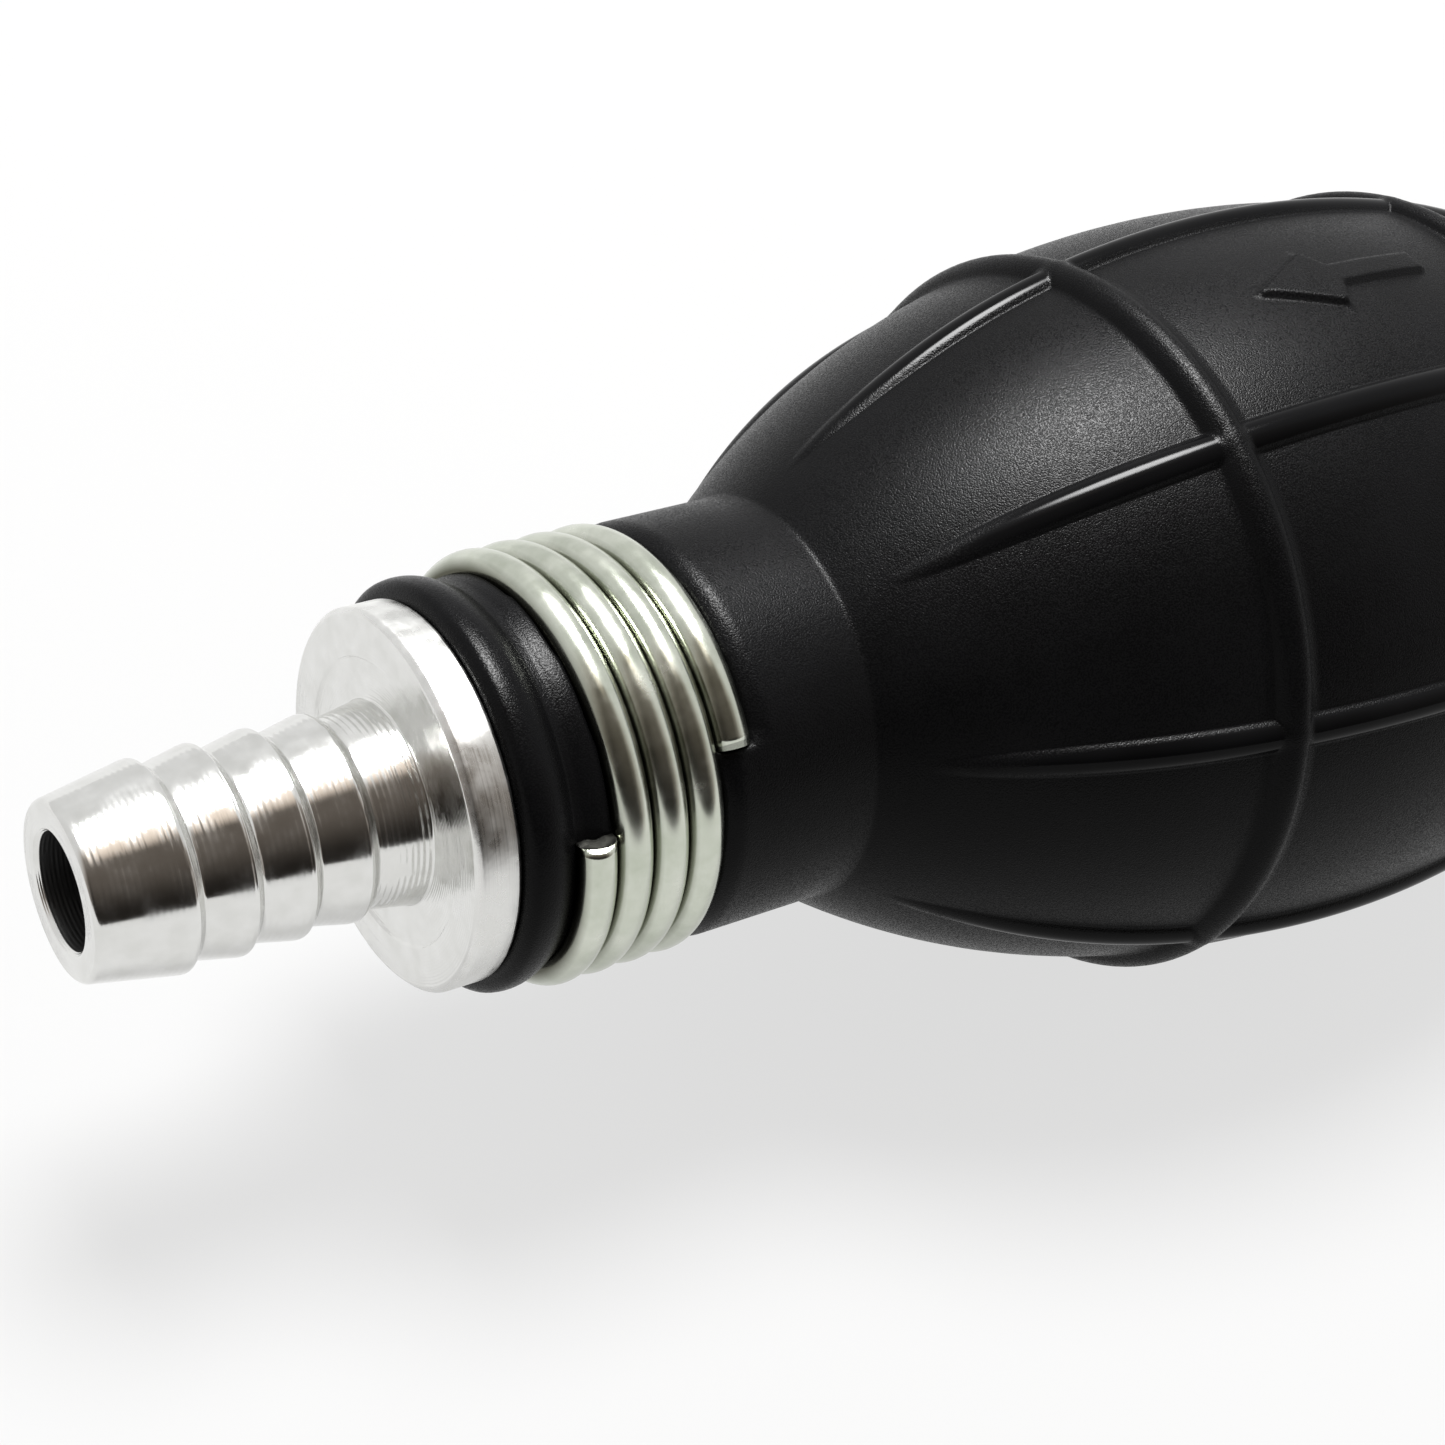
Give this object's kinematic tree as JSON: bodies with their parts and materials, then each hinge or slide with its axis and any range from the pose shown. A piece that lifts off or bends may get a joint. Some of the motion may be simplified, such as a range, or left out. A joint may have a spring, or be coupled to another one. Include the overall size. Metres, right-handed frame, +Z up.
{
  "type": "siphon bulb pump",
  "caption": "Hand primer bulb pump with a ribbed rubber bulb, wire-clamped aluminium hose barbs and spring-loaded one-way valves for moving fuel through a hose.",
  "frame": {"origin": "middle of the bulb on the flow axis", "axes": "+X along the flow towards the outlet, +Z up through the raised flow arrow, +Y completes the right-handed set"},
  "size_m": [0.1606, 0.0474, 0.0477],
  "materials": {
    "bulb_rubber": "satin moulded black rubber with a fine grain",
    "turned_aluminium": "bright turned, with fine tool marks",
    "zinc_wire": "bright zinc plate",
    "acetal": "natural white moulded plastic",
    "seal_rubber": "matte black nitrile",
    "spring_steel": "bright stainless wire",
    "turned_brass": "turned"
  },
  "bodies": {
    "root": {"bulb": "bulb_rubber", "outlet_fitting": "turned_aluminium", "inlet_fitting": "turned_aluminium", "outlet_clamp": "zinc_wire", "inlet_clamp": "zinc_wire", "outlet_seat_ring": "turned_brass", "outlet_seat_oring": "seal_rubber", "outlet_circlip": "spring_steel", "inlet_spring_retainer": "turned_brass", "inlet_circlip": "spring_steel", "outlet_spring": "spring_steel", "inlet_spring": "spring_steel"},
    "squeeze_wall": {"bulb_squeeze_wall": "bulb_rubber"},
    "outlet_valve": {"outlet_poppet": "acetal", "outlet_poppet_seal": "seal_rubber"},
    "inlet_valve": {"inlet_poppet": "acetal", "inlet_poppet_seal": "seal_rubber"}
  },
  "joints": [
    {"name": "bulb_squeeze", "type": "slide", "parent": "root", "child": "squeeze_wall", "axis": [0, 0, -1], "range_m": [0, 0.014], "stiffness_N_per_m": 1500},
    {"name": "outlet_poppet_slide", "type": "slide", "parent": "root", "child": "outlet_valve", "axis": [1, 0, 0], "range_m": [0, 0.0022], "stiffness_N_per_m": 60, "deforming": ["outlet_spring"]},
    {"name": "inlet_poppet_slide", "type": "slide", "parent": "root", "child": "inlet_valve", "axis": [1, 0, 0], "range_m": [0, 0.0022], "stiffness_N_per_m": 60, "deforming": ["inlet_spring"]}
  ]
}
